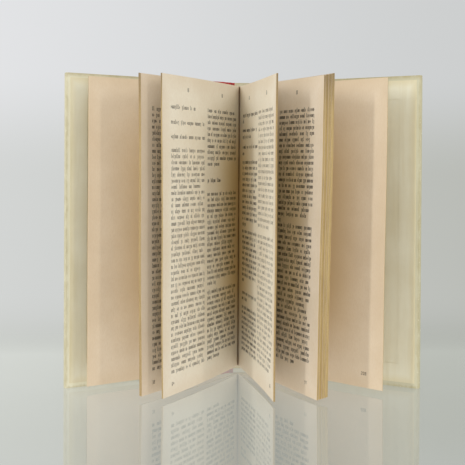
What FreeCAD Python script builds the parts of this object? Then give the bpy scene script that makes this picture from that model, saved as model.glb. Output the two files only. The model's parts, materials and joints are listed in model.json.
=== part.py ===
import FreeCAD, Part
import math
import os
from collections import namedtuple

import Sketcher
from FreeCAD import Placement, Rotation, Vector

# A small case-bound book that stands open on its tail with its leaves fanned.
# Plan view, before the last shift: the spine runs along X at the back, the leaves
# reach forward along -Y, and Z is the height from tail to head.

# Driving sizes in millimetres and degrees.
SIZES = {
    "cover_height": 205.0,
    "page_square": 3.0,
    "board_thick": 2.1,
    "sheet_thick": 0.25,
    "paste_thick": 0.15,
    "cover_reach": 130.2,
    "joint_width": 6.5,
    "joint_start": 0.8,
    "joint_to_face": 0.9,
    "hinge_back": 2.3,
    "cover_clear": 0.3,
    "turn_in": 15.0,
    "turn_in_shown": 3.0,
    "edge_round": 0.45,
    "front_open": 59.5,
    "back_open": 52.4,
    "card_thick": 1.2,
    "spine_round": 0.8,
    "flange_stop": 0.25,
    "lining_thick": 0.3,
    "lining_short": 6.0,
    "hollow_gap": 0.5,
    "leaf_width": 128.5,
    "root_depth": 3.0,
    "root_sunk": 1.0,
    "glue_depth": 2.4,
    "leaf_gap": 0.1,
    "side_margin": 0.15,
}

# Groups of leaves from the front cover to the back cover. side is the way that a group
# leans, angle how far it is opened on average, twist how much more that is at the head
# than at the tail, bend the radius of the bend near the spine, and curl how far the
# blade turns on from the bend to the fore-edge: outwards above 0, back below it, never 0.
Group = namedtuple("Group", "name side thick angle twist bend curl signatures")
LEAF_GROUPS = (
    Group("front_flyleaf", -1, 0.25, 53.5, -0.3, 6.0, 2.0, 1),
    Group("first_section", -1, 1.75, 32.45, 0.7, 9.0, 2.0, 1),
    Group("left_gathering", -1, 0.95, 26.1, 0.7, 13.0, 6.0, 1),
    Group("right_gathering", 1, 1.1, 6.3, 0.3, 23.0, -4.0, 1),
    Group("main_section", 1, 7.4, 19.25, 1.8, 9.0, 2.0, 7),
    Group("end_leaf", 1, 0.25, 39.1, 1.6, 6.0, 2.0, 1),
)

# How much further each signature of a group reaches at the fore-edge.
SIGNATURE_STEPS = (0.0, 0.25, -0.1, 0.2, 0.05, 0.3, 0.1)

doc = FreeCAD.newDocument("open_book")
sheet = doc.addObject("Spreadsheet::Sheet", "Sizes")


def put_cell(row, alias, content):
    """Write one named cell."""
    sheet.set(f"A{row}", alias.replace("_", " "))
    sheet.set(f"B{row}", content)
    sheet.setAlias(f"B{row}", alias)
    return row + 1


def fill_sheet():
    """Put the driving sizes into the sheet, then the sizes that follow from them."""
    row = 1
    for alias, value in SIZES.items():
        row = put_cell(row, alias, str(value))
    for group in LEAF_GROUPS:
        row = put_cell(row, f"{group.name}_thick", str(group.thick))
        row = put_cell(row, f"{group.name}_angle", str(group.angle))
        row = put_cell(row, f"{group.name}_twist", str(group.twist))
        row = put_cell(row, f"{group.name}_bend", str(group.bend))
        row = put_cell(row, f"{group.name}_curl", str(group.curl))
    names = [group.name for group in LEAF_GROUPS]
    total = " + ".join(f"{name}_thick" for name in names)
    gaps = f"{len(names) - 1} * leaf_gap + 2 * side_margin"
    derived = {
        "page_height": "=cover_height - 2 * page_square",
        "block_thick": f"={total} + {gaps}",
        "block_back": "=-hollow_gap - lining_thick",
        "board_in": "=board_thick - joint_to_face",
        "inner_face": "=board_in + sheet_thick + paste_thick",
        "hinge_x": "=block_thick / 2 + cover_clear + inner_face",
        "spine_half": "=hinge_x + joint_to_face - sheet_thick",
        "strip_half": "=sheet_thick / 2",
        "bend_start": "=block_back - root_depth",
    }
    for alias, formula in derived.items():
        row = put_cell(row, alias, formula)
    low = "=-block_thick / 2 + side_margin"
    for group in LEAF_GROUPS:
        row = fill_group(row, group, low)
        low = f"={group.name}_high + leaf_gap"
    doc.recompute()


def fill_group(row, group, low):
    """Cells that follow for one group: its place, and its blade at the tail and head.

    lead is the angle at the end of the bend, blade the length past it, and curve the
    blade's radius, which is negative where the blade curls back.
    """
    name = group.name
    row = put_cell(row, f"{name}_low", low)
    row = put_cell(row, f"{name}_high", f"={name}_low + {name}_thick")
    for end, sign in (("tail", "-"), ("head", "+")):
        lead = f"{name}_angle {sign} {name}_twist / 2 - {name}_curl / 2"
        row = put_cell(row, f"{name}_{end}_lead", f"={lead}")
        arc = f"({name}_bend + {name}_thick / 2) * {name}_{end}_lead * pi / 180"
        row = put_cell(row, f"{name}_{end}_blade", f"=leaf_width - root_depth - {arc}")
        curve = f"={name}_{end}_blade * 180 / (pi * {name}_curl)"
        row = put_cell(row, f"{name}_{end}_curve", curve)
    gaps = f"{group.signatures - 1} * leaf_gap"
    ply = f"=({name}_thick - {gaps}) / {group.signatures}"
    row = put_cell(row, f"{name}_ply", ply)
    low = f"={name}_low"
    for number in range(1, group.signatures + 1):
        row = fill_signature(row, group, number, low)
        low = f"={name}_{number}_high + leaf_gap"
    return row


def fill_signature(row, group, number, low):
    """Cells for one signature, which shares its group's two centres.

    bend and sweep are the inner face's radii in the bend and along the blade, and span
    is the angle of the blade's arc, longer by the signature's step at the fore-edge.
    """
    name = group.name
    label = f"{name}_{number}"
    row = put_cell(row, f"{label}_step", str(SIGNATURE_STEPS[number - 1]))
    row = put_cell(row, f"{label}_low", low)
    row = put_cell(row, f"{label}_high", f"={label}_low + {name}_ply")
    offset = f"{name}_high - {label}_high" if group.side > 0 else f"{label}_low - {name}_low"
    row = put_cell(row, f"{label}_bend", f"={name}_bend + {offset}")
    for end in ("tail", "head"):
        sweep = f"=abs({name}_{end}_curve - {name}_thick / 2 + {offset})"
        row = put_cell(row, f"{label}_{end}_sweep", sweep)
        span = f"=abs({name}_curl) * (1 + {label}_step / {name}_{end}_blade)"
        row = put_cell(row, f"{label}_{end}_span", span)
    return row


def size(alias):
    """Read one size from the sheet."""
    return float(sheet.get(alias))


def cell(alias):
    """Name one size in an expression."""
    return f"Sizes.{alias}"


def new_body(label):
    body = doc.addObject("PartDesign::Body", label)
    body.Label = label
    return body


def sketch_at(body, name, level):
    """Start a sketch parallel to the plan, at the height that the expression gives."""
    plan = [item for item in body.Origin.OriginFeatures if item.Role == "XY_Plane"][0]
    sketch = body.newObject("Sketcher::SketchObject", name)
    sketch.AttachmentSupport = [(plan, "")]
    sketch.MapMode = "FlatFace"
    sketch.setExpression("AttachmentOffset.Base.z", level)
    return sketch


def hold(sketch, kind, *places):
    """Add a constraint whose value is the expression at the end of the list."""
    numbers = places[:-1]
    index = sketch.addConstraint(Sketcher.Constraint(kind, *numbers))
    sketch.setExpression(f"Constraints[{index}]", places[-1])


def outline(sketch, points):
    """Draw a closed outline of straight edges; each corner is held by two expressions."""
    count = len(points)
    for i, (first, _) in enumerate(points):
        start = Vector(*first)
        end = Vector(*points[(i + 1) % count][0])
        sketch.addGeometry(Part.LineSegment(start, end), False)
    for i in range(count):
        sketch.addConstraint(Sketcher.Constraint("Coincident", i, 2, (i + 1) % count, 1))
    for i, (first, (across, along)) in enumerate(points):
        hold(sketch, "DistanceX", -1, 1, i, 1, first[0], across)
        hold(sketch, "DistanceY", -1, 1, i, 1, first[1], along)


def extrude(body, sketch, height, cut=False):
    """Pad or pocket a plan sketch upwards by the height that the expression gives."""
    kind = "PartDesign::Pocket" if cut else "PartDesign::Pad"
    feature = body.newObject(kind, sketch.Name + ("_pocket" if cut else "_pad"))
    feature.Profile = sketch
    feature.Type = "Length"
    feature.Reversed = cut
    feature.setExpression("Length", height)
    return feature


def slab(body, name, across, along, level, height, cut=False):
    """A rectangular pad or pocket between two X and two Y expressions.

    The start corners only say which way round the rectangle is drawn.
    """
    sketch = sketch_at(body, name, level)
    corners = (
        ((0.0, 0.0), (across[0], along[0])),
        ((1.0, 0.0), (across[1], along[0])),
        ((1.0, 1.0), (across[1], along[1])),
        ((0.0, 1.0), (across[0], along[1])),
    )
    outline(sketch, corners)
    return extrude(body, sketch, height, cut)


def round_edges(body, feature, radius, wanted):
    """Fillet the feature's edges whose middle point the test accepts."""
    doc.recompute()
    names = []
    for i, edge in enumerate(feature.Shape.Edges):
        middle = edge.valueAt((edge.FirstParameter + edge.LastParameter) / 2)
        if wanted(middle):
            names.append(f"Edge{i + 1}")
    fillet = body.newObject("PartDesign::Fillet", feature.Name + "_round")
    fillet.Base = (feature, names)
    fillet.setExpression("Radius", radius)
    return fillet


def arc(centre, radius, base, side, headings):
    """Arc about a vertical axis between two headings, drawn counter-clockwise."""
    angles = sorted(base + side * heading for heading in headings)
    return Part.ArcOfCircle(Part.Circle(centre, Vector(0, 0, 1), radius), *angles)


def leaf_sketch(body, group, number, end, level):
    """Plan outline of one signature of leaves, at the tail or the head.

    The root is straight, the bend is two arcs about one centre, and the blade is two
    long arcs about another, cut square to them at the fore-edge.
    """
    name = group.name
    side = group.side
    way = 1 if group.curl > 0 else -1
    label = f"{name}_{number}"
    lead = math.radians(size(f"{name}_{end}_lead"))
    tip = lead + way * math.radians(size(f"{label}_{end}_span"))
    bend = size(f"{label}_bend")
    sweep = size(f"{label}_{end}_sweep")
    thick = size(f"{name}_ply")
    inner_side, outer_side = ("high", "low") if side > 0 else ("low", "high")
    inner_x = size(f"{label}_{inner_side}")
    outer_x = size(f"{label}_{outer_side}")
    sunk_y = size("block_back") - size("root_sunk")
    bend_y = size("bend_start")

    def outwards(heading):
        return Vector(-side * math.cos(heading), -math.sin(heading))

    bend_centre = Vector(inner_x + side * bend, bend_y)
    blade_centre = bend_centre + outwards(lead) * (bend - way * sweep)
    inner_tip = blade_centre + outwards(tip) * (way * sweep)
    outer_tip = blade_centre + outwards(tip) * (way * sweep + thick)
    bend_base = math.pi if side > 0 else 0.0
    blade_base = math.pi if side * way > 0 else 0.0
    upper, lower = (1, 2) if side > 0 else (2, 1)
    near, far = (1, 2) if side * way > 0 else (2, 1)

    sketch = sketch_at(body, f"{label}_{end}", level)
    line = Part.LineSegment
    pieces = (
        line(Vector(outer_x, sunk_y), Vector(inner_x, sunk_y)),
        line(Vector(inner_x, sunk_y), Vector(inner_x, bend_y)),
        arc(bend_centre, bend, bend_base, side, (0.0, lead)),
        arc(blade_centre, sweep, blade_base, side, (lead, tip)),
        line(inner_tip, outer_tip),
        arc(blade_centre, sweep + way * thick, blade_base, side, (lead, tip)),
        arc(bend_centre, bend + thick, bend_base, side, (0.0, lead)),
        line(Vector(outer_x, bend_y), Vector(outer_x, sunk_y)),
    )
    for piece in pieces:
        sketch.addGeometry(piece, False)
    (root, inner_root, inner_bend, inner_blade,
     fore_edge, outer_blade, outer_bend, outer_root) = range(len(pieces))
    rules = (
        ("Coincident", root, 2, inner_root, 1),
        ("Coincident", outer_root, 2, root, 1),
        ("Coincident", inner_blade, far, fore_edge, 1),
        ("Coincident", outer_blade, far, fore_edge, 2),
        ("Tangent", inner_root, 2, inner_bend, upper),
        ("Tangent", inner_bend, lower, inner_blade, near),
        ("Tangent", outer_blade, near, outer_bend, lower),
        ("Tangent", outer_bend, upper, outer_root, 1),
        ("Coincident", inner_bend, 3, outer_bend, 3),
        ("Coincident", inner_blade, 3, outer_blade, 3),
        ("PointOnObject", inner_blade, 3, fore_edge),
        ("Horizontal", root),
        ("Vertical", inner_root),
        ("Vertical", outer_root),
    )
    for rule in rules:
        sketch.addConstraint(Sketcher.Constraint(*rule))
    sunk = f"{cell('block_back')} - {cell('root_sunk')}"
    span = abs(tip - lead)
    hold(sketch, "DistanceX", -1, 1, root, 1, outer_x, cell(f"{label}_{outer_side}"))
    hold(sketch, "DistanceX", -1, 1, root, 2, inner_x, cell(f"{label}_{inner_side}"))
    hold(sketch, "DistanceY", -1, 1, root, 1, sunk_y, sunk)
    hold(sketch, "DistanceY", -1, 1, inner_bend, 3, bend_y, cell("bend_start"))
    hold(sketch, "Radius", inner_bend, bend, cell(f"{label}_bend"))
    hold(sketch, "Radius", inner_blade, sweep, cell(f"{label}_{end}_sweep"))
    hold(sketch, "Angle", inner_bend, lead, f"{cell(f'{name}_{end}_lead')} * 1 deg")
    hold(sketch, "Angle", inner_blade, span, f"{cell(f'{label}_{end}_span')} * 1 deg")
    return sketch


def make_text_block():
    """Glued core along the spine, with every signature lofted from tail to head."""
    body = new_body("text_block")
    half = f"{cell('block_thick')} / 2"
    back = cell("block_back")
    tail = cell("page_square")
    head = f"{cell('cover_height')} - {cell('page_square')}"
    front = f"{back} - {cell('glue_depth')}"
    slab(body, "glued_core", (f"-{half}", half), (front, back), tail, cell("page_height"))
    for group in LEAF_GROUPS:
        for number in range(1, group.signatures + 1):
            lower = leaf_sketch(body, group, number, "tail", tail)
            upper = leaf_sketch(body, group, number, "head", head)
            loft = body.newObject("PartDesign::AdditiveLoft", f"{group.name}_{number}_leaves")
            loft.Profile = lower
            loft.Sections = [upper]
            loft.Ruled = True
    return body


def make_spine_card():
    """Flat strip of card that stiffens the back of the case."""
    body = new_body("spine_card")
    half = cell("spine_half")
    level = cell("sheet_thick")
    height = f"{cell('cover_height')} - 2 * {level}"
    pad = slab(body, "card", (f"-{half}", half), ("0", cell("card_thick")), level, height)
    back = size("card_thick")
    radius = f"{cell('spine_round')} - {level}"
    middle = size("cover_height") / 2
    round_edges(
        body, pad, radius,
        lambda p: abs(p.y - back) < 1e-6 and abs(p.z - middle) < 1e-6,
    )
    return body


def make_spine_covering():
    """Covering sheet over the card: back, two flanks down to the joints, turn-ins."""
    body = new_body("spine_covering")
    wall = cell("sheet_thick")
    half = cell("spine_half")
    height = cell("cover_height")
    reach = f"({cell('flange_stop')} - {cell('hinge_back')})"
    joint_in = f"({cell('hinge_x')} - {cell('strip_half')})"
    joint_out = f"({cell('hinge_x')} + {cell('strip_half')})"
    outer = f"({half} + {wall})"
    back = f"{cell('card_thick')} + {wall}"
    inside = size("card_thick")
    rear = inside + size("sheet_thick")
    side = size("spine_half")
    flank = side + size("sheet_thick")
    low = size("flange_stop") - size("hinge_back")
    edge = size("hinge_x") + size("strip_half")
    lip = size("hinge_x") - size("strip_half")
    left = (
        ((-flank, rear), (f"-{outer}", back)),
        ((-flank, 0.0), (f"-{outer}", "0")),
        ((-edge, low), (f"-{joint_out}", reach)),
        ((-lip, low), (f"-{joint_in}", reach)),
        ((-side, 0.0), (f"-{half}", "0")),
        ((-side, inside), (f"-{half}", cell("card_thick"))),
    )
    right = (
        ((side, inside), (half, cell("card_thick"))),
        ((side, 0.0), (half, "0")),
        ((lip, low), (joint_in, reach)),
        ((edge, low), (joint_out, reach)),
        ((flank, 0.0), (outer, "0")),
        ((flank, rear), (outer, back)),
    )
    corners = left + right
    sketch = sketch_at(body, "channel", "0")
    outline(sketch, corners)
    pad = extrude(body, sketch, height)
    middle = size("cover_height") / 2

    def outer_corner(p):
        return abs(p.y - rear) < 1e-6 and abs(p.z - middle) < 1e-6

    def inner_corner(p):
        close = abs(p.y - inside) < 1e-6 and abs(abs(p.x) - side) < 1e-6
        return close and abs(p.z - middle) < 1e-6

    rounded = round_edges(body, pad, cell("spine_round"), outer_corner)
    round_edges(body, rounded, f"{cell('spine_round')} - {wall}", inner_corner)
    across = (f"-{half}", half)
    flap = cell("turn_in")
    cap_back = f"{cell('card_thick')} + {wall} / 2"
    top_cap = f"{height} - {wall}"
    top_flap = f"{height} - {flap}"
    slab(body, "tail_cap", (f"-{half} + {cell('spine_round')}", f"{half} - {cell('spine_round')}"),
         (f"-{wall}", cap_back), "0", wall)
    slab(body, "head_cap", (f"-{half} + {cell('spine_round')}", f"{half} - {cell('spine_round')}"),
         (f"-{wall}", cap_back), top_cap, wall)
    slab(body, "tail_turn_in", across, (f"-{wall}", "0"), "0", flap)
    slab(body, "head_turn_in", across, (f"-{wall}", "0"), top_flap, flap)
    return body


def make_spine_lining():
    """Strip of lining glued to the back of the leaves, inside the hollow of the spine."""
    body = new_body("spine_lining")
    half = f"{cell('block_thick')} / 2"
    back = cell("block_back")
    level = f"{cell('page_square')} + {cell('lining_short')}"
    height = f"{cell('page_height')} - 2 * {cell('lining_short')}"
    along = (back, f"{back} + {cell('lining_thick')}")
    slab(body, "lining", (f"-{half}", half), along, level, height)
    return body


def span(side, low, high):
    """Two expressions across a cover, measured outwards from its joint."""
    return (f"{side} * ({low})", f"{side} * ({high})")


def make_board(label, side):
    """Board of one cover, flat, with the joint's axis at the origin and X to the fore-edge."""
    body = new_body(label)
    wall = cell("sheet_thick")
    along = (cell("joint_width"), f"{cell('cover_reach')} - {wall}")
    across = span(side, f"-{cell('board_in')}", cell("joint_to_face"))
    height = f"{cell('cover_height')} - 2 * {wall}"
    slab(body, f"{label}_plate", along, across, wall, height)
    return body


def make_covering(label, side):
    """Covering sheet of one cover: joint strip, outer face and turn-ins round the board."""
    body = new_body(label)
    wall = cell("sheet_thick")
    joint = cell("joint_width")
    reach = cell("cover_reach")
    height = cell("cover_height")
    strip = cell("strip_half")
    inside = f"({cell('board_in')} + {wall})"
    outside = f"({cell('joint_to_face')} + {wall})"
    start = cell("joint_start")
    step = f"{joint} - {wall}"
    far = size("cover_reach")
    near = size("joint_width")
    root = size("joint_start")
    film = size("strip_half")
    under = size("board_in") + size("sheet_thick")
    face = size("joint_to_face") + size("sheet_thick")
    bevel = near - size("sheet_thick")
    shape = (
        ((root, -film), (start, f"-{strip}")),
        ((near, -film), (joint, f"-{strip}")),
        ((near, -under), (joint, f"-{inside}")),
        ((far, -under), (reach, f"-{inside}")),
        ((far, face), (reach, outside)),
        ((bevel, face), (step, outside)),
        ((bevel, film), (step, strip)),
        ((root, film), (start, strip)),
    )
    corners = []
    for (x, y), (along, across) in shape:
        corners.append(((x, side * y), (along, f"{side} * ({across})")))
    sketch = sketch_at(body, f"{label}_wrap", "0")
    outline(sketch, corners)
    pad = extrude(body, sketch, height)
    top = size("cover_height")

    def on_rim(p):
        at_end = abs(p.z) < 1e-6 or abs(p.z - top) < 1e-6
        at_fore_edge = abs(p.x - far) < 1e-6
        on_face = abs(p.y - side * face) < 1e-6 and p.x > near
        return at_fore_edge or (at_end and on_face)

    round_edges(body, pad, cell("edge_round"), on_rim)
    board_across = span(side, f"-{cell('board_in')}", cell("joint_to_face"))
    board_height = f"{height} - 2 * {wall}"
    slab(body, f"{label}_board", (joint, f"{reach} - {wall}"), board_across,
         wall, board_height, cut=True)
    flap = cell("turn_in")
    slab(body, f"{label}_window", (f"{joint} - {wall}", f"{reach} - {flap}"),
         span(side, f"-{inside} - {wall}", f"-{cell('board_in')}"),
         flap, f"{height} - 2 * {flap}", cut=True)
    return body


def make_pastedown(label, side):
    """Endpaper pasted to the inside of one cover, over the turn-ins, down into the joint."""
    body = new_body(label)
    wall = cell("sheet_thick")
    paper = cell("paste_thick")
    joint = cell("joint_width")
    reach = cell("cover_reach")
    height = cell("cover_height")
    margin = cell("turn_in_shown")
    flap = cell("turn_in")
    board = cell("board_in")
    on_flaps = f"({board} + {wall})"
    level = f"{height} - 2 * {margin}"
    strip = f"({cell('strip_half')} + {paper} / 2)"
    slab(body, f"{label}_sheet", (f"{joint} - {paper}", f"{reach} - {margin}"),
         span(side, f"-{on_flaps} - {paper}", f"-{on_flaps}"), margin, level)
    slab(body, f"{label}_middle", (joint, f"{reach} - {flap}"),
         span(side, f"-{on_flaps} - {paper} / 2", f"-{board}"),
         flap, f"{height} - 2 * {flap}")
    slab(body, f"{label}_dip", (f"{joint} + {paper}", f"{reach} - {flap} - {paper}"),
         span(side, f"-{on_flaps} - 2 * {paper}", f"-{board} - {paper}"),
         f"{flap} + {paper}", f"{height} - 2 * {flap} - 2 * {paper}", cut=True)
    slab(body, f"{label}_edge", (f"{joint} - {paper}", joint),
         span(side, f"-{on_flaps} - {paper} / 2", f"-{strip}"), margin, level)
    slab(body, f"{label}_strip", (f"{cell('joint_start')}", f"{joint} - {paper} / 2"),
         span(side, f"-{strip} - {paper}", f"-{strip}"), margin, level)
    return body


def make_covers():
    """Build both covers flat, then turn each about its joint to the angle it stands at."""
    pieces = []
    hinge_x = size("hinge_x")
    hinge_y = -size("hinge_back")
    up = Vector(0, 0, 1)
    for name, side in (("front", -1), ("back", 1)):
        turn = side * size(f"{name}_open") - 90
        place = Placement(Vector(side * hinge_x, hinge_y, 0), Rotation(up, turn))
        cover = (
            make_board(f"{name}_board", side),
            make_covering(f"{name}_covering", side),
            make_pastedown(f"{name}_pastedown", side),
        )
        for piece in cover:
            piece.Placement = place
            pieces.append(piece)
    return pieces


def centre_on_base(pieces):
    """Shift the whole book so that its origin is the middle of the box's base."""
    doc.recompute()
    box = FreeCAD.BoundBox()
    for piece in pieces:
        box.add(piece.Shape.optimalBoundingBox(False, False))
    shift = Vector(-box.Center.x, -box.Center.y, -box.ZMin)
    for piece in pieces:
        place = piece.Placement
        piece.Placement = Placement(place.Base + shift, place.Rotation)
    doc.recompute()
    print("box", box.XLength, box.YLength, box.ZLength, "shift", shift)
    print("hinge", size("hinge_x"), -size("hinge_back"))


def write_parts(pieces):
    """Stop on any failed object, then write each piece to its own file."""
    for item in doc.Objects:
        if "Invalid" in item.State or "Error" in item.State:
            raise RuntimeError(f"{item.Name}: {item.State}")
    for piece in pieces:
        shape = piece.Shape
        if shape.isNull() or not shape.isValid() or len(shape.Solids) != 1:
            raise RuntimeError(f"{piece.Label} is not one valid solid")
        shape.exportStep(f"parts/{piece.Label}.step")
        print(piece.Label, round(shape.Volume, 2))


fill_sheet()
os.makedirs("parts", exist_ok=True)
parts = [make_text_block(), make_spine_lining(), make_spine_card(), make_spine_covering()]
parts.extend(make_covers())
centre_on_base(parts)
write_parts(parts)
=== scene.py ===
import json
import math

import bpy
import numpy as np
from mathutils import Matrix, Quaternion, Vector


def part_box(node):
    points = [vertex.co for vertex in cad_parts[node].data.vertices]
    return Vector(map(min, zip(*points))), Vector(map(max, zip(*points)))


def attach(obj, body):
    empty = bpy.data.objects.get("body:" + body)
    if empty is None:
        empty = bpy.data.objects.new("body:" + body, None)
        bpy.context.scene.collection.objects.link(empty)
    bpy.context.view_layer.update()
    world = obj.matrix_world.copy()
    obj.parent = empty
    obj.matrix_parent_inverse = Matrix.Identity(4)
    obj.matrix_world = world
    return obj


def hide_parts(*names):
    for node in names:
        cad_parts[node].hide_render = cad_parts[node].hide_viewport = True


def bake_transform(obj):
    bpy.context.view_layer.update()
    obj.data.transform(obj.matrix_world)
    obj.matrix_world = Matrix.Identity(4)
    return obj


# The look of a small case-bound book that stands open on its tail: thin leaves side by
# side, their print, the paper at the joints, the finish of every piece, and the studio.
# Plan view: the spine is at the back (+Y), the leaves reach forward, Z is the height.

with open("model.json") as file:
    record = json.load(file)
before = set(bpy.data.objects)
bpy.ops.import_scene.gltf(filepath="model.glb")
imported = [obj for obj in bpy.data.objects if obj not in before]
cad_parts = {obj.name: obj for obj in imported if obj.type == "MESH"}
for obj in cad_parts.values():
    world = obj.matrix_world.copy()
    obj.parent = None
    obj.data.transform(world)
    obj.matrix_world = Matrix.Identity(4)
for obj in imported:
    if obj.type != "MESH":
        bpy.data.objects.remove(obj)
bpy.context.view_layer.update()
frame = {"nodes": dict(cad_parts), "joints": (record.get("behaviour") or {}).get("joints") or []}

MM = 0.001

# Sizes of the leaves and the case, in metres.
LEAF_WIDTH = 128.5 * MM
ROOT_DEPTH = 3.0 * MM
LEAF_GAP = 0.1 * MM
SIDE_MARGIN = 0.15 * MM
HINGE_BACK = 2.3 * MM
COVER_REACH = 130.2 * MM
COVER_WALL = 0.25 * MM
PASTE_THICK = 0.15 * MM
JOINT_TO_FACE = 0.9 * MM

# How far each cover is opened, in degrees, and the side of the spine that it is on.
COVER_OPEN = {"front": 59.5, "back": 52.4}
SIDES = {"front": -1, "back": 1}

# Groups of leaves from the front cover to the back cover. thick and bend, the radius of
# the bend near the spine, are in millimetres; angle, twist and curl are in degrees. twist
# is how much further the head is opened than the tail, and curl how far the blade turns on
# from the bend to the fore-edge. droop is the change of the fore-edge's height, on the
# front and the back side of the group, in millimetres.
LEAF_GROUPS = {
    "front_flyleaf": dict(side=-1, thick=0.25, angle=53.5, twist=-0.3, bend=6.0, curl=2.0,
                          sheets=1, signatures=1, droop=(0.0, 0.0)),
    "first_section": dict(side=-1, thick=1.75, angle=32.45, twist=0.7, bend=9.0, curl=2.0,
                          sheets=9, signatures=1, droop=(-0.1, -0.37)),
    "left_gathering": dict(side=-1, thick=0.95, angle=26.1, twist=0.7, bend=13.0, curl=6.0,
                           sheets=5, signatures=1, droop=(-0.59, -0.72)),
    "right_gathering": dict(side=1, thick=1.1, angle=6.3, twist=0.3, bend=23.0, curl=-4.0,
                            sheets=6, signatures=1, droop=(-0.94, -0.94)),
    "main_section": dict(side=1, thick=7.4, angle=19.25, twist=1.8, bend=9.0, curl=2.0,
                         sheets=42, signatures=7, droop=(-1.31, 0.32)),
    "end_leaf": dict(side=1, thick=0.25, angle=39.1, twist=1.6, bend=6.0, curl=2.0,
                     sheets=1, signatures=1, droop=(-0.25, -0.25)),
}

# How much further each signature of a group reaches at the fore-edge, in millimetres.
SIGNATURE_STEPS = np.array([0.0, 0.25, -0.1, 0.2, 0.05, 0.3, 0.1])

# The slow waves in the leaves: how deep they are at the fore-edge, and how many radians
# they turn through up the page, across it, and for each millimetre between groups.
COCKLE = 0.18 * MM
COCKLE_UP, COCKLE_ACROSS, COCKLE_SHIFT = 9.0, 5.0, 40

# How uneven the sheets are in thickness, the air between two of them and the half
# thickness of one, as shares of a sheet's place in its group.
SHEET_UNEVEN, SHEET_AIR, SHEET_HALF = 0.1, 0.05, 0.47

# How unevenly sheets are cut at the fore-edge, with the most that may be, and at the
# head and tail, in millimetres.
FORE_UNEVEN, FORE_MOST, END_UNEVEN = 0.06, 0.12, 0.035

# Points along a group's path, and the reach up to which a leaf's grid is finer.
PATH_POINTS = 1400
FINE_REACH = 22 * MM

lining_low, lining_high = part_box("spine_lining")
text_low, text_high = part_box("text_block")
hinges = {joint["child"].split("_")[0]: Vector(joint["pos_m"]) for joint in frame["joints"]}
SPINE_X = (hinges["front"].x + hinges["back"].x) / 2
SPINE_Y = hinges["front"].y + HINGE_BACK
BLOCK_BACK = lining_low.y
PAGE_TAIL, PAGE_HEAD = text_low.z, text_high.z
COVER_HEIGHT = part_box("front_covering")[1].z


def srgb(red, green, blue):
    """Linear colour of an 8-bit screen colour."""
    share = np.array([red, green, blue]) / 255
    linear = np.where(share <= 0.04045, share / 12.92, ((share + 0.055) / 1.055) ** 2.4)
    return (*linear.tolist(), 1.0)


def running_sum(values, step):
    """Integral from the first value to each value, by the mean of neighbours."""
    pairs = (values[1:] + values[:-1]) / 2 * step
    return np.concatenate([[0.0], np.cumsum(pairs)])


def leaf_path(group, angle):
    """Mid-line of a group of leaves in plan, at one height.

    The heading from the spine is 0 along the root, rises evenly through the bend to the
    angle less half the curl, and then changes evenly by the curl up to the fore-edge.
    The line is the running sum of the heading's sine and cosine.
    """
    reach = np.linspace(0, LEAF_WIDTH * 1.02, PATH_POINTS)
    curl = math.radians(group["curl"])
    lead = angle - curl / 2
    arc = (group["bend"] + group["thick"] / 2) * MM * lead
    blade = LEAF_WIDTH - ROOT_DEPTH - arc
    rise = np.clip((reach - ROOT_DEPTH) / arc, 0, 1)
    past = np.clip((reach - ROOT_DEPTH - arc) / blade, 0, None)
    heading = lead * rise + curl * past
    step = reach[1] - reach[0]
    out = running_sum(np.sin(heading), step) * group["side"]
    forward = running_sum(np.cos(heading), step)
    return dict(reach=reach, out=out, forward=forward,
                across_x=np.cos(heading), across_y=np.sin(heading) * group["side"])


def prepare_groups():
    """Place each group beside the one before it and work out its tail and head paths."""
    low = lining_low.x + SIDE_MARGIN
    for group in LEAF_GROUPS.values():
        thick = group["thick"] * MM
        group["middle"] = low + thick / 2
        low += thick + LEAF_GAP
        twist = group["twist"] / 2
        group["tail"] = leaf_path(group, math.radians(group["angle"] - twist))
        group["head"] = leaf_path(group, math.radians(group["angle"] + twist))


def leaf_point(group, reach, across, height):
    """Place of a point of a group of leaves, for arrays of reach, offset and height.

    It is the path at that reach, blended from tail to head by height, plus the offset
    along the path's normal. The offset gets a slow wave that grows with the square of
    the reach, and the height changes by the droop in step with the reach.
    """
    share = (height - PAGE_TAIL) / (PAGE_HEAD - PAGE_TAIL)
    found = {}
    for key in ("out", "forward", "across_x", "across_y"):
        tail = np.interp(reach, group["tail"]["reach"], group["tail"][key])
        head = np.interp(reach, group["head"]["reach"], group["head"][key])
        found[key] = tail + (head - tail) * share
    part = np.clip(reach / LEAF_WIDTH, 0, None)
    wave = np.sin(COCKLE_UP * share + COCKLE_ACROSS * part + COCKLE_SHIFT * group["middle"] / MM)
    offset = across + COCKLE * part ** 2 * wave
    side_share = across / (group["thick"] * MM) + 0.5
    low_droop, high_droop = group["droop"]
    droop = (low_droop + (high_droop - low_droop) * side_share) * MM * part
    place = (
        group["middle"] + found["out"] + offset * found["across_x"],
        BLOCK_BACK - found["forward"] + offset * found["across_y"],
        height + droop,
    )
    return np.stack(np.broadcast_arrays(*place), -1)


def new_mesh(name, points, quads, kinds=None, smooth=None):
    """An object from arrays of points and of four-cornered faces."""
    mesh = bpy.data.meshes.new(name)
    mesh.vertices.add(len(points))
    mesh.vertices.foreach_set("co", points.astype(np.float32).ravel())
    mesh.loops.add(quads.size)
    mesh.loops.foreach_set("vertex_index", quads.astype(np.int32).ravel())
    mesh.polygons.add(len(quads))
    mesh.polygons.foreach_set("loop_start", np.arange(0, quads.size, 4, dtype=np.int32))
    if kinds is not None:
        mesh.polygons.foreach_set("material_index", kinds.astype(np.int32))
    mesh.update(calc_edges=True)
    mesh.validate()
    flags = np.zeros(len(quads), bool) if smooth is None else smooth
    mesh.polygons.foreach_set("use_smooth", flags)
    if smooth is not None:
        mesh.set_sharp_from_angle(angle=math.radians(35))
    piece = bpy.data.objects.new(name, mesh)
    bpy.context.scene.collection.objects.link(piece)
    return piece


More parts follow.
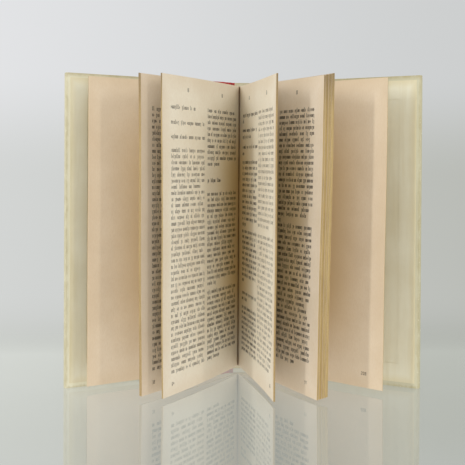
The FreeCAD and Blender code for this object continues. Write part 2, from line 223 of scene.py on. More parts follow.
def grid_faces(rows, columns):
    """Faces of a grid of points, row by row."""
    index = np.arange(rows * columns).reshape(rows, columns)
    corners = (index[:-1, :-1], index[1:, :-1], index[1:, 1:], index[:-1, 1:])
    return np.stack([corner.ravel() for corner in corners], -1)


def slab_faces(rows, columns):
    """Faces of a closed slab whose points are a first grid and then a second one.

    The first grid's faces look one way and the second grid's the other, and a rim of
    quads joins the two borders. Returns the faces and 1 for each that is on the rim.
    """
    front = grid_faces(rows, columns)
    back = front[:, ::-1] + rows * columns
    index = np.arange(rows * columns).reshape(rows, columns)
    border = np.concatenate([
        index[:-1, 0], index[-1, :-1], index[:0:-1, -1], index[0, :0:-1],
    ])
    ahead = np.roll(border, -1)
    rim = np.stack([ahead, border, border + rows * columns, ahead + rows * columns], -1)
    faces = np.concatenate([front, back, rim])
    on_rim = np.concatenate([np.zeros(len(front) * 2), np.ones(len(rim))])
    return faces, on_rim


def add_page_map(piece, across_share, height_share, tone):
    """Give a piece a map of spine to fore-edge and tail to head, and a tone to each face."""
    mesh = piece.data
    corner = np.empty(len(mesh.loops), np.int32)
    mesh.loops.foreach_get("vertex_index", corner)
    layer = mesh.uv_layers.new(name="page")
    pairs = np.stack([across_share[corner], height_share[corner]], -1)
    layer.data.foreach_set("uv", pairs.astype(np.float32).ravel())
    shade = mesh.attributes.new("tone", "FLOAT", "FACE")
    shade.data.foreach_set("value", tone.astype(np.float32))


def sheet_places(group, random):
    """Centre and half thickness of each sheet across its group, a little uneven.

    Each signature fills its own share of the group, a gap apart from the next one, and
    within it the sheets touch all but a hair of air.
    """
    count, signatures = group["sheets"], group["signatures"]
    each = count // signatures
    ply = (group["thick"] * MM - (signatures - 1) * LEAF_GAP) / signatures
    weight = 1 + SHEET_UNEVEN * random.standard_normal((signatures, each))
    air = np.where(np.arange(each) > 0, SHEET_AIR, 0.0)
    scale = ply / (weight.sum(1, keepdims=True) + air.sum())
    within = (np.cumsum(weight + air, 1) - weight / 2) * scale
    start = np.arange(signatures)[:, None] * (ply + LEAF_GAP) - group["thick"] * MM / 2
    return (start + within).ravel(), (weight * scale * SHEET_HALF).ravel()


def make_leaves(name, group, random):
    """All leaves of a group: closed thin slabs side by side, cut a little unevenly.

    Each slab is a grid of reach by height at two offsets. Its reach ends at the leaf's
    width plus its signature's step and a smaller one for the sheet.
    """
    count = group["sheets"]
    near = np.linspace(0, FINE_REACH, 17)[:-1]
    far = np.linspace(FINE_REACH, LEAF_WIDTH, 25)
    reach = np.concatenate([near, far])
    height = np.linspace(PAGE_TAIL, PAGE_HEAD, 13)
    centre, half = sheet_places(group, random)
    group["faces"] = (centre[0] - half[0], centre[-1] + half[-1])
    signature = np.arange(count) * group["signatures"] // count
    uneven = np.clip(random.normal(0, FORE_UNEVEN, count), -FORE_MOST, FORE_MOST)
    longer = SIGNATURE_STEPS[signature] + uneven
    longer[[0, -1]] = SIGNATURE_STEPS[signature[[0, -1]]]
    longer *= MM
    trim = random.normal(0, END_UNEVEN, count) * MM
    stretch = 1 + longer[:, None, None, None] / LEAF_WIDTH
    sides = np.stack([centre + half, centre - half], -1)
    grid_reach = reach[None, None, :, None] * stretch
    grid_height = height[None, None, None, :] + trim[:, None, None, None]
    grid_across = sides[:, :, None, None]
    points = leaf_point(group, grid_reach, grid_across, grid_height)
    faces, on_rim = slab_faces(len(reach), len(height))
    size = 2 * len(reach) * len(height)
    shift = np.arange(count) * size
    quads = (faces[None] + shift[:, None, None]).reshape(-1, 4)
    kinds = np.tile(on_rim, count)
    piece = new_mesh(name, points.reshape(-1, 3), quads, kinds, kinds == 0)
    shape = points.shape[:-1]
    along = np.broadcast_to(reach[None, None, :, None] / LEAF_WIDTH, shape).ravel()
    up = (height - PAGE_TAIL) / (PAGE_HEAD - PAGE_TAIL)
    upwards = np.broadcast_to(up[None, None, None, :], shape).ravel()
    tone = np.repeat(random.uniform(0, 1, count), len(faces))
    add_page_map(piece, along, upwards, tone)
    return piece


# Print. Places on a page are millimetres from the fore-edge and from the page's tail.
LINE_PITCH = 3.8
TYPE_HEIGHT = 1.85
TYPE_WIDTH = 0.98
TYPE_STEP = 1.34
WORD_SPACE = 1.15
WORD_STRETCH = 1.6
MARKS_PER_WORD = (2, 10)
STROKE_GROWTH = 0.16
NUMERAL_WIDTH = 1.1
NUMERAL_HEIGHT = 2.1
NUMERAL_STEP = 1.45
INK_PROUD = 0.035 * MM
INK_SUNK = 0.015 * MM

# Neutral marks in the place of type: bars as shares of the mark's width and height.
MARKS = (
    ((0.32, 0.68, 0.0, 1.0),),
    ((0.0, 0.34, 0.0, 1.0), (0.7, 1.0, 0.0, 1.0), (0.34, 0.7, 0.8, 1.0)),
    ((0.0, 0.3, 0.0, 1.0), (0.66, 1.0, 0.0, 1.0), (0.3, 0.66, 0.0, 0.2)),
    ((0.0, 0.32, 0.1, 0.9), (0.7, 1.0, 0.1, 0.9), (0.2, 0.8, 0.0, 0.16), (0.2, 0.8, 0.84, 1.0)),
    ((0.2, 0.54, 0.0, 1.5), (0.54, 0.85, 0.0, 0.2)),
    ((0.5, 0.84, -0.4, 1.0), (0.15, 0.5, 0.8, 1.0)),
    ((0.05, 0.4, 0.0, 1.0), (0.4, 0.95, 0.4, 0.6)),
)

# The mark in a page's head margin: two upright bars.
HEAD_MARK = ((0.0, 0.5, 0.0, 2.6), (1.2, 1.7, 0.0, 2.6))

# Seven bars of a plain numeral: a to g, as shares of its width and height.
NUMERAL_BARS = {
    "a": (0.0, 1.0, 0.88, 1.0),
    "b": (0.78, 1.0, 0.5, 0.88),
    "c": (0.78, 1.0, 0.12, 0.5),
    "d": (0.0, 1.0, 0.0, 0.12),
    "e": (0.0, 0.22, 0.12, 0.5),
    "f": (0.0, 0.22, 0.5, 0.88),
    "g": (0.22, 0.78, 0.44, 0.56),
}
NUMERALS = {
    "0": "abcdef", "1": "bc", "2": "abged", "3": "abgcd", "4": "fgbc",
    "5": "afgcd", "6": "afgedc", "7": "abc", "8": "abcdefg", "9": "abcdfg",
}

# Each printed page: its group, its face, its columns as (near and far edge from the
# fore-edge, blocks of lines), its page number, and the places of its number and of the
# marks in the head margin. A block is the height of its first and last line, the last
# line's share and its weight.
PRINTED_PAGES = {
    "print_left_page": dict(
        group="left_gathering", face=1, folio="64", folio_at=(11.5, 6.0),
        heads=((33.6, 189.4), (88.0, 189.0)),
        columns=(
            (11.0, 59.5, ((179.0, 179.0, 0.7, 1.0), (169.5, 169.5, 0.98, 0.9),
                          (160.5, 160.5, 1.0, 0.9), (152.0, 14.4, 1.0, 0.85))),
            (64.0, 116.0, ((179.0, 143.5, 0.45, 1.1), (132.5, 132.5, 0.5, 1.4),
                           (123.5, 64.0, 0.28, 1.15), (58.2, 14.4, 0.4, 1.15))),
        ),
    ),
    "print_first_section": dict(
        group="first_section", face=1, folio="38", folio_at=(12.0, 5.6),
        heads=((38.0, 190.0), (92.0, 189.4)),
        columns=(
            (12.0, 61.5, ((177.6, 15.0, 0.9, 1.2),)),
            (66.0, 116.0, ((177.6, 15.0, 0.6, 1.0),)),
        ),
    ),
    "print_right_page": dict(
        group="right_gathering", face=-1, folio="65", folio_at=(14.0, 6.0),
        heads=((92.0, 188.0), (33.0, 188.0)),
        columns=(
            (63.0, 111.5, ((177.5, 173.3, 0.2, 1.15), (167.0, 162.5, 0.55, 1.15),
                           (155.5, 151.0, 0.18, 1.15), (145.0, 102.0, 0.3, 1.15),
                           (97.0, 63.0, 0.12, 1.15), (54.0, 50.0, 0.35, 1.15),
                           (44.0, 15.0, 1.0, 1.15))),
            (7.0, 59.0, ((178.0, 104.0, 0.7, 0.4), (97.0, 15.0, 0.8, 0.4))),
        ),
    ),
    "print_main_section": dict(
        group="main_section", face=-1, folio="97", folio_at=(17.0, 7.0),
        heads=((36.5, 189.0), (88.0, 189.0)),
        columns=(
            (64.0, 114.0, ((178.5, 18.0, 0.7, 1.0),)),
            (11.5, 60.0, ((178.5, 108.0, 0.25, 1.4), (104.3, 18.0, 0.65, 1.4))),
        ),
    ),
    "print_left_back": dict(
        group="left_gathering", face=-1, folio="55", folio_at=(14.5, 5.6),
        heads=((38.0, 190.0), (92.0, 190.0)),
        columns=(
            (67.0, 117.0, ((178.8, 15.5, 0.7, 1.0),)),
            (12.0, 62.0, ((178.8, 120.0, 0.4, 1.0), (114.0, 15.5, 0.8, 1.0))),
        ),
    ),
    "print_right_back": dict(
        group="right_gathering", face=1, folio="76", folio_at=(12.5, 5.6),
        heads=((38.0, 190.0), (92.0, 190.0)),
        columns=(
            (12.0, 62.0, ((178.8, 70.0, 0.5, 1.0), (64.0, 15.5, 0.8, 1.0))),
            (67.0, 117.0, ((178.8, 15.5, 0.3, 1.0),)),
        ),
    ),
    "print_end_leaf": dict(
        group="end_leaf", face=-1, folio="208", folio_at=(18.0, 8.0), heads=(), columns=(),
    ),
}


def bars_of_line(random, length, weight):
    """Bars of one line of type marks, from 0 to its length.

    Words of two to nine marks are drawn until the line is full; the word spaces are
    then stretched so that the line ends at its full length.
    """
    words = random.integers(*MARKS_PER_WORD, 30)
    ends = np.cumsum(words * TYPE_STEP + WORD_SPACE) - WORD_SPACE
    count = max(1, int((ends <= length).sum()))
    words = words[:count]
    spare = length - (words.sum() * TYPE_STEP + (count - 1) * WORD_SPACE)
    space = WORD_SPACE + min(max(spare, 0) / max(count - 1, 1), WORD_STRETCH)
    letter = np.arange(words.sum())
    word = np.repeat(np.arange(count), words)
    start = letter * TYPE_STEP + word * space
    mark = random.integers(0, len(MARKS), len(letter))
    thicker = (weight - 1) * STROKE_GROWTH
    bars = []
    for place, kind in zip(start, mark):
        for left, right, low, high in MARKS[kind]:
            bars.append((place + (left - thicker) * TYPE_WIDTH,
                         place + (right + thicker) * TYPE_WIDTH,
                         low * TYPE_HEIGHT, high * TYPE_HEIGHT))
    return np.array(bars)


def bars_of_numeral(digits):
    """Bars of a plain number made of straight strokes."""
    bars = []
    for place, digit in enumerate(digits):
        start = place * NUMERAL_WIDTH * NUMERAL_STEP
        for key in NUMERALS[digit]:
            left, right, low, high = NUMERAL_BARS[key]
            bars.append((start + left * NUMERAL_WIDTH, start + right * NUMERAL_WIDTH,
                         low * NUMERAL_HEIGHT, high * NUMERAL_HEIGHT))
    return np.array(bars)


def page_bars(page, random):
    """All bars of a page: from and to along the reading direction, then two heights.

    Places are distances from the fore-edge, negative where reading runs towards it.
    """
    reading_in = page["face"] > 0
    found = []
    for near, far, blocks in page["columns"]:
        start = near if reading_in else -far
        for top, bottom, last, weight in blocks:
            lines = int(round((top - bottom) / LINE_PITCH)) + 1
            heights = np.linspace(top, bottom, lines)
            for number, height in enumerate(heights):
                share = last if number == lines - 1 else 1.0
                bars = bars_of_line(random, (far - near) * share, weight)
                foot = height - TYPE_HEIGHT / 2
                found.append(bars + (start, start, foot, foot))
    across, up = page["folio_at"]
    start = across if reading_in else -across
    found.append(bars_of_numeral(page["folio"]) + (start, start, up, up))
    for across, up in page["heads"]:
        start = across if reading_in else -across
        found.append(np.array(HEAD_MARK) + (start, start, up, up))
    return np.concatenate(found)


def make_print(name, page, random):
    """Ink of a page: a closed low box for every bar, following the leaf's surface.

    A box has its eight corners at the bar's two ends, its two heights, and two
    offsets from the page, one just under its surface and one just above it.
    """
    group = LEAF_GROUPS[page["group"]]
    bars = page_bars(page, random) * MM
    low_face, high_face = group["faces"]
    surface = high_face if page["face"] > 0 else low_face
    from_edge = bars[:, [0, 1, 1, 0]] * page["face"]
    height = bars[:, [2, 2, 3, 3]] + PAGE_TAIL
    levels = np.array([INK_PROUD, -INK_SUNK]) * page["face"] + surface
    reach = (LEAF_WIDTH - from_edge)[:, None]
    points = leaf_point(group, reach, levels[None, :, None], height[:, None])
    box = np.array([
        [0, 1, 2, 3], [7, 6, 5, 4], [1, 0, 4, 5], [2, 1, 5, 6], [3, 2, 6, 7], [0, 3, 7, 4],
    ])
    quads = (box[None] + np.arange(len(bars))[:, None, None] * 8).reshape(-1, 4)
    return new_mesh(name, points.reshape(-1, 3), quads)


def turn_outwards(piece):
    """Turn all faces round if the mesh is inside out.

    Its volume is the sum, over its triangles, of the product of the normal and a corner
    measured from the middle. A negative volume means that the faces look inwards.
    """
    mesh = piece.data
    places = np.empty(len(mesh.vertices) * 3, np.float32)
    mesh.vertices.foreach_get("co", places)
    places = places.reshape(-1, 3).astype(float)
    corner = np.empty(len(mesh.loops), np.int32)
    mesh.loops.foreach_get("vertex_index", corner)
    quads = places[corner.reshape(-1, 4)] - places.mean(0)
    first = np.cross(quads[:, 1] - quads[:, 0], quads[:, 2] - quads[:, 0])
    second = np.cross(quads[:, 2] - quads[:, 0], quads[:, 3] - quads[:, 0])
    volume = ((first + second) * quads[:, 0]).sum()
    if volume < 0:
        mesh.flip_normals()


def cover_axes(cover):
    """Hinge place, direction to the fore-edge and outward normal of a cover, in plan."""
    side = SIDES[cover]
    angle = math.radians(COVER_OPEN[cover])
    along = np.array([side * math.sin(angle), -math.cos(angle)])
    outward = np.array([side * math.cos(angle), math.sin(angle)])
    hinge = np.array([hinges[cover].x, hinges[cover].y])
    return hinge, along, outward


def smooth_path(corners, steps):
    """A quadratic curve through the plan: corners weighted by its three shares."""
    share = np.linspace(0, 1, steps)[:, None]
    first, middle, last = corners
    return first * (1 - share) ** 2 + middle * 2 * share * (1 - share) + last * share ** 2


def make_strip(name, path, outward, thick, low, high):
    """Thin paper strip: a plan path carried from one height to another, closed all round."""
    height = np.linspace(low, high, 9)
    inner = path - outward * thick
    both = np.stack([path, inner])
    points = np.empty((2, len(path), len(height), 3))
    points[..., :2] = both[:, :, None, :]
    points[..., 2] = height[None, None, :]
    faces, on_rim = slab_faces(len(path), len(height))
    return new_mesh(name, points.reshape(-1, 3), faces, None, on_rim == 0)


# Points along a joint paper, how far it reaches onto the spine's flank and the cover,
# its thickness outside and inside, and how far it stops short of the head and the tail.
JOINT_STEPS = 15
ON_FLANK, ON_COVER, ON_COVER_INSIDE = 1.3 * MM, 2.2 * MM, 2.0 * MM
OUTSIDE_THICK, INSIDE_THICK = 0.12 * MM, 0.1 * MM
OUTSIDE_SHORT, INSIDE_SHORT = 0.15 * MM, 0.1 * MM


def make_joint_covering(cover):
    """Covering paper over a joint, from the spine's flank to the cover's groove."""
    side = SIDES[cover]
    hinge, along, outward = cover_axes(cover)
    flank = np.array([side * (JOINT_TO_FACE - COVER_WALL / 2), HINGE_BACK])
    up_flank = flank / np.linalg.norm(flank)
    flank_out = np.array([side * abs(up_flank[1]), -abs(up_flank[0])])
    proud = COVER_WALL / 2 + 0.05 * MM
    on_flank = hinge + up_flank * ON_FLANK + flank_out * proud
    at_hinge = hinge + (flank_out + outward) / 2 * proud
    on_cover = hinge + along * ON_COVER + outward * proud
    path = smooth_path((on_flank, at_hinge, on_cover), JOINT_STEPS)
    mean = (flank_out + outward) / np.linalg.norm(flank_out + outward)
    return make_strip(f"{cover}_joint_covering", path, mean, OUTSIDE_THICK, OUTSIDE_SHORT,
                      COVER_HEIGHT - OUTSIDE_SHORT)


def make_joint_endpaper(cover):
    """Endpaper over a joint, from the first or last leaf's root to the pastedown."""
    side = SIDES[cover]
    hinge, along, outward = cover_axes(cover)
    flank_x = lining_low.x if side < 0 else lining_high.x
    on_block = np.array([flank_x + side * 0.02 * MM, BLOCK_BACK - 0.6 * MM])
    lower = np.array([flank_x + side * 0.6 * MM, hinge[1] - 0.4 * MM])
    inward = -outward * (COVER_WALL / 2 + PASTE_THICK + 0.03 * MM)
    on_cover = hinge + along * ON_COVER_INSIDE + inward
    path = smooth_path((on_block, lower, on_cover), JOINT_STEPS)
    return make_strip(f"{cover}_joint_endpaper", path, outward, INSIDE_THICK,
                      PAGE_TAIL + INSIDE_SHORT, PAGE_HEAD - INSIDE_SHORT)


def make_spine_glue():
    """Thin layer of glue that holds the backs of the leaves, under the lining.

    Its front is a little lumpy: a product of two slow sines.
    """
    across = np.linspace(lining_low.x + 0.05 * MM, lining_high.x - 0.05 * MM, 40)
    height = np.linspace(PAGE_TAIL + 0.2 * MM, PAGE_HEAD - 0.2 * MM, 60)
    x, z = np.meshgrid(across, height, indexing="ij")
    lumps = 0.04 * MM * np.sin(x * 2600) * np.sin(z * 700 + x * 900)
    back = np.stack([x, np.full_like(x, BLOCK_BACK - 0.01 * MM), z], -1)
    front = np.stack([x, BLOCK_BACK - 0.2 * MM + lumps, z], -1)
    faces, on_rim = slab_faces(len(across), len(height))
    points = np.stack([back, front]).reshape(-1, 3)
    return new_mesh("spine_glue", points, faces, None, on_rim == 0)


class Finish:
    """A new material with short ways to add its nodes."""

    def __init__(self, name, roughness, specular=0.5):
        self.material = bpy.data.materials.new(name)
        self.material.use_nodes = True
        self.tree = self.material.node_tree
        self.shader = self.tree.nodes["Principled BSDF"]
        self.shader.inputs["Roughness"].default_value = roughness
        self.shader.inputs["Specular IOR Level"].default_value = specular

    def node(self, kind, **settings):
        """A new node with its settings."""
        made = self.tree.nodes.new(kind)
        for key, value in settings.items():
            setattr(made, key, value)
        return made

    def feed(self, value, socket):
        """Link a node's output to a socket, or set the socket to a constant."""
        if isinstance(value, bpy.types.NodeSocket):
            self.tree.links.new(value, socket)
        else:
            socket.default_value = value

    def place(self, turn=0.0, origin=(0, 0, 0), stretch=(1, 1, 1)):
        """Object coordinates, from an origin, turned about Z and stretched."""
        coordinates = self.node("ShaderNodeTexCoord").outputs["Object"]
        local = self.node("ShaderNodeMapping", vector_type="TEXTURE")
        local.inputs["Location"].default_value = origin
        local.inputs["Rotation"].default_value = (0, 0, turn)
        self.feed(coordinates, local.inputs["Vector"])
        scaled = self.node("ShaderNodeMapping")
        scaled.inputs["Scale"].default_value = stretch
        self.feed(local.outputs[0], scaled.inputs["Vector"])
        return scaled.outputs[0]

    def noise(self, vector, scale, detail=4.0, roughness=0.55):
        """Cloudy pattern from 0 to 1, with so many clouds to a metre."""
        made = self.node("ShaderNodeTexNoise")
        self.feed(vector, made.inputs["Vector"])
        made.inputs["Scale"].default_value = scale
        made.inputs["Detail"].default_value = detail
        made.inputs["Roughness"].default_value = roughness
        return made.outputs["Fac"]

    def ramp(self, value, low, high, from_value=0.0, to_value=1.0):
        """Smooth step from one value to another between two limits."""
        made = self.node("ShaderNodeMapRange", interpolation_type="SMOOTHSTEP")
        self.feed(value, made.inputs["Value"])
        made.inputs["From Min"].default_value = low
        made.inputs["From Max"].default_value = high
        made.inputs["To Min"].default_value = from_value
        made.inputs["To Max"].default_value = to_value
        return made.outputs["Result"]

    def math(self, operation, first, second=0.0):
        """One step of arithmetic on one or two values."""
        made = self.node("ShaderNodeMath", operation=operation)
        self.feed(first, made.inputs[0])
        self.feed(second, made.inputs[1])
        return made.outputs[0]

    def mix(self, share, first, second):
        """The first colour going over to the second by a share from 0 to 1."""
        made = self.node("ShaderNodeMix", data_type="RGBA")
        self.feed(share, made.inputs[0])
        self.feed(first, made.inputs[6])
        self.feed(second, made.inputs[7])
        return made.outputs[2]

    def parts(self, vector):
        """X, Y and Z of a vector."""
        made = self.node("ShaderNodeSeparateXYZ")
        self.feed(vector, made.inputs[0])
        return made.outputs

    def blend(self, share, first, second):
        """The first surface going over to the second by a share from 0 to 1."""
        made = self.node("ShaderNodeMixShader")
        for socket, value in zip(made.inputs, (share, first, second)):
            self.feed(value, socket)
        return made.outputs[0]

    def colour(self, value):
        """Set the shader's own colour."""
        self.feed(value, self.shader.inputs["Base Color"])

    def bump(self, height, strength, distance):
        """Fine relief from a height pattern."""
        made = self.node("ShaderNodeBump")
        made.inputs["Strength"].default_value = strength
        made.inputs["Distance"].default_value = distance
        self.feed(height, made.inputs["Height"])
        self.feed(made.outputs[0], self.shader.inputs["Normal"])


# Colours of the painted gutter shade, of dust and soil, of a cover's darker head band and of bare
# paper, as 8-bit screen colours like all those below.
GUTTER_SHADE_BROWN = (176, 132, 78)
EDGE_DUST = (112, 96, 74)
COVER_SOIL = (166, 154, 102)
COVER_HEAD_TONE = (166, 154, 112)
BARE_SPECK = (236, 232, 214)

# Each paper's pale and warm clouds, its aged rim, the warmer colour of its painted shade, and the
# two shares of the leaf's width, from the fore-edge, between which the painted shade comes in.
PAPERS = {
    "flyleaf_paper": (
        (229, 214, 190), (222, 206, 181), (206, 181, 144), (223, 200, 159), 0.1, 0.5,
    ),
    "pale_paper": (
        (233, 226, 208), (228, 219, 199), (206, 182, 148), (224, 200, 146), 0.5, 0.95,
    ),
    "text_paper": (
        (230, 217, 198), (224, 210, 189), (206, 182, 146), (220, 199, 158), 0.06, 0.3,
    ),
}
PAPER_OF_GROUP = {
    "front_flyleaf": "flyleaf_paper", "first_section": "text_paper",
    "left_gathering": "pale_paper", "right_gathering": "pale_paper",
    "main_section": "text_paper", "end_leaf": "flyleaf_paper",
}

# Each kind of cut edge: its pale and brown sheets and its dark streaks.
EDGES = {
    "trimmed_edge": ((200, 176, 124), (184, 156, 98), (128, 104, 66)),
    # The second kind is the first painted darker: painted shade on the cut edges of the thin
    # groups, which stand in the shade of their neighbours.
    "painted_shade_edge": ((188, 164, 118), (174, 147, 99), (124, 101, 66)),
}
PAINTED_SHADE_EDGE_GROUPS = ("first_section", "left_gathering", "right_gathering")


def page_paper(name, pale, warm, aged, shade_tint, shade_from, shade_to):
    """Uncoated book paper: cloudy fibre tone, fine grain, browner towards its edges.

    The rim is aged up to a wandering distance from the nearest edge. The painted shade is a warmer
    colour where the leaves shade each other: it comes in by the product of two ramps, one away
    from the fore-edge between the two shares of the leaf's width and one away from the head and
    the tail. The root, deep in the gutter, is painted a deep brown shade.
    """
    finish = Finish(name, 0.82, 0.25)
    place = finish.place()
    cloud = finish.ramp(finish.noise(place, 38.0, 5.0), 0.3, 0.7)
    fibre = finish.noise(finish.place(stretch=(1, 1, 0.35)), 1500.0, 3.0)
    base = finish.mix(cloud, srgb(*pale), srgb(*warm))
    base = finish.mix(finish.ramp(fibre, 0.35, 0.75, 0.0, 0.22), base, srgb(*aged))
    page = finish.node("ShaderNodeUVMap", uv_map="page").outputs[0]
    along, up, _ = finish.parts(page)
    from_edge = finish.math("SUBTRACT", 1.0, along)
    from_head = finish.math("SUBTRACT", 1.0, up)
    ends = finish.math("MINIMUM", up, from_head)
    nearest = finish.math("MINIMUM", finish.math("MULTIPLY", ends, 1.5), from_edge)
    wander = finish.math("MULTIPLY", finish.noise(place, 90.0, 3.0), 0.035)
    rim = finish.ramp(finish.math("ADD", nearest, wander), 0.015, 0.12, 0.34, 0.0)
    base = finish.mix(rim, base, srgb(*aged))
    # Painted shade: the paper turns a warmer brown away from the fore-edge and from head and tail,
    # where the leaves shade each other.
    painted_shade_share = finish.math("MULTIPLY", finish.ramp(from_edge, shade_from, shade_to),
                         finish.ramp(ends, 0.04, 0.34))
    base = finish.mix(painted_shade_share, base, srgb(*shade_tint))
    # Painted shade: the root, deep in the gutter, goes a deep brown.
    root = finish.ramp(from_edge, 0.93, 0.985, 0.0, 0.8)
    finish.colour(finish.mix(root, base, srgb(*GUTTER_SHADE_BROWN)))
    finish.bump(finish.noise(place, 2600.0, 3.0), 0.25, 0.05 * MM)
    return finish.material


def cut_edge(name, pale, brown, dark):
    """Cut edges of the leaves: a tone for each sheet, streaks along it, a dusty head."""
    finish = Finish(name, 0.85, 0.2)
    tone = finish.node("ShaderNodeAttribute", attribute_name="tone").outputs["Fac"]
    streak = finish.noise(finish.place(stretch=(1, 1, 0.03)), 2400.0, 4.0)
    cloud = finish.noise(finish.place(stretch=(1, 1, 0.5)), 70.0, 4.0)
    base = finish.mix(finish.ramp(tone, 0.0, 1.0), srgb(*pale), srgb(*brown))
    base = finish.mix(finish.ramp(streak, 0.42, 0.68, 0.0, 0.4), base, srgb(*dark))
    base = finish.mix(finish.ramp(cloud, 0.5, 0.75, 0.0, 0.25), base, srgb(*dark))
    page = finish.node("ShaderNodeUVMap", uv_map="page").outputs[0]
    dust = finish.ramp(finish.parts(page)[1], 0.86, 1.0, 0.0, 0.55)
    finish.colour(finish.mix(dust, base, srgb(*EDGE_DUST)))
    finish.bump(streak, 0.4, 0.06 * MM)
    return finish.material


def printing_ink():
    """Letterpress ink: nearly black brown, uneven from mark to mark."""
    finish = Finish("printing_ink", 0.6, 0.3)
    spread = finish.noise(finish.place(), 420.0, 3.0)
    finish.colour(finish.mix(finish.ramp(spread, 0.3, 0.7), srgb(26, 23, 20), srgb(46, 41, 35)))
    finish.bump(spread, 0.1, 0.01 * MM)
    return finish.material


def cover_turn(cover):
    """Angle in plan from +X to a cover's direction, and its hinge, for a Mapping node."""
    side = SIDES[cover]
    return math.radians(side * COVER_OPEN[cover] - 90), tuple(hinges[cover][:2]) + (0.0,)


# The red field of the covering, from and to: past the front hinge towards the fore-edge, and
# across the spine from its middle. The pale and the soft tone of each cover: the back's are
# darker, painted shade on the same covering paper.
RED_ON_FRONT = (-2 * MM, 40 * MM)
RED_ON_SPINE = (-12 * MM, -6 * MM)
COVER_TONES_SHADED_BACK = {
    "front": ((227, 223, 197), (219, 214, 184)),
    "back": ((205, 202, 175), (196, 191, 162)),
}


def covering_paper(name, cover, pale, soft, red_field=None):
    """Satin printed paper over board: cream with a greenish cast, soiled at its edges.

    The soil fades with the distance from the nearest edge, less a rubbed pattern. The covering is
    darker in a band at the head. The red field goes over the soil and this band. Bare specks show
    along every edge, on the field too.
    """
    finish = Finish(name, 0.42, 0.45)
    turn, origin = cover_turn(cover) if cover else (0.0, (SPINE_X, SPINE_Y, 0.0))
    local = finish.place(turn, origin)
    along, _, up = finish.parts(local)
    cloud = finish.ramp(finish.noise(local, 30.0, 4.0), 0.35, 0.7)
    base = finish.mix(cloud, srgb(*pale), srgb(*soft))
    ends = finish.math("MINIMUM", up, finish.math("SUBTRACT", COVER_HEIGHT, up))
    if cover:
        reach = finish.math("SUBTRACT", COVER_REACH, along)
        ends = finish.math("MINIMUM", ends, reach)
    rubbed = finish.noise(finish.place(turn, origin, (1, 1, 0.4)), 420.0, 5.0, 0.6)
    depth = finish.math("ADD", ends, finish.math("MULTIPLY", rubbed, -4.0 * MM))
    soil = finish.ramp(depth, -2.6 * MM, 0.2 * MM, 0.55, 0.0)
    base = finish.mix(soil, base, srgb(*COVER_SOIL))
    # Darker in a band towards the head.
    dust = finish.ramp(up, COVER_HEIGHT - 4.0 * MM, COVER_HEIGHT - 1.0 * MM, 0.0, 0.3)
    base = finish.mix(dust, base, srgb(*COVER_HEAD_TONE))
    if red_field:
        first, last = red_field
        soft_line = 0.1 * MM
        after = finish.ramp(along, first - soft_line, first + soft_line)
        before = finish.ramp(along, last - soft_line, last + soft_line, 1.0, 0.0)
        red = finish.mix(cloud, srgb(186, 44, 38), srgb(168, 36, 32))
        base = finish.mix(finish.math("MULTIPLY", after, before), base, red)
    speck = finish.ramp(finish.noise(local, 900.0, 2.0), 0.66, 0.72)
    near = finish.ramp(ends, 0.2 * MM, 1.4 * MM, 0.8, 0.0)
    base = finish.mix(finish.math("MULTIPLY", speck, near), base, srgb(*BARE_SPECK))
    finish.colour(base)
    finish.bump(finish.noise(local, 700.0, 3.0), 0.12, 0.05 * MM)
    return finish.material


def pasted_paper(name, cover):
    """Endpaper pasted to a board: pale with a greenish cast, upright ripples of paste."""
    finish = Finish(name, 0.72, 0.3)
    turn, origin = cover_turn(cover)
    local = finish.place(turn, origin)
    ripple = finish.noise(finish.place(turn, origin, (1, 1, 0.08)), 210.0, 4.0, 0.6)
    cloud = finish.ramp(finish.noise(local, 24.0, 5.0), 0.3, 0.7)
    base = finish.mix(cloud, srgb(231, 228, 206), srgb(222, 217, 192))
    base = finish.mix(finish.ramp(ripple, 0.4, 0.7, 0.0, 0.3), base, srgb(206, 196, 160))
    along, _, up = finish.parts(local)
    ends = finish.math("MINIMUM", up, finish.math("SUBTRACT", COVER_HEIGHT, up))
    ends = finish.math("MINIMUM", ends, finish.math("SUBTRACT", COVER_REACH, along))
    aged = finish.ramp(ends, 3.0 * MM, 9.0 * MM, 0.4, 0.0)
    finish.colour(finish.mix(aged, base, srgb(206, 190, 140)))
    grain = finish.noise(local, 1800.0, 3.0)
    height = finish.math("ADD", finish.math("MULTIPLY", ripple, 3.0), grain)
    finish.bump(height, 0.3, 0.12 * MM)
    return finish.material


def pulp_board():
    """Grey pulp board with fibres and dark specks."""
    finish = Finish("pulp_board", 0.9, 0.15)
    place = finish.place()
    fibre = finish.noise(place, 900.0, 6.0, 0.7)
    speck = finish.ramp(finish.noise(place, 1600.0, 2.0), 0.66, 0.74)
    base = finish.mix(finish.ramp(fibre, 0.3, 0.7), srgb(150, 142, 126), srgb(122, 114, 100))
    finish.colour(finish.mix(speck, base, srgb(70, 62, 54)))
    finish.bump(fibre, 0.6, 0.2 * MM)
    return finish.material


def spine_lining_paper():
    """Brown lining paper with the weave of the gauze showing through.

    The weave is the greater of two sines, one of the height and one across the spine.
    """
    finish = Finish("spine_lining_paper", 0.88, 0.15)
    weave, pale, dark = 5200.0, srgb(186, 160, 116), srgb(160, 132, 90)
    place = finish.place()
    along, _, up = finish.parts(place)
    threads_up = finish.math("SINE", finish.math("MULTIPLY", up, weave))
    threads_across = finish.math("SINE", finish.math("MULTIPLY", along, weave))
    threads = finish.math("MAXIMUM", threads_up, threads_across)
    fibre = finish.noise(place, 700.0, 5.0)
    base = finish.mix(finish.ramp(fibre, 0.3, 0.7), pale, dark)
    finish.colour(finish.mix(finish.ramp(threads, 0.5, 1.0, 0.0, 0.3), base, pale))
    finish.bump(finish.math("ADD", threads, fibre), 0.4, 0.08 * MM)
    return finish.material


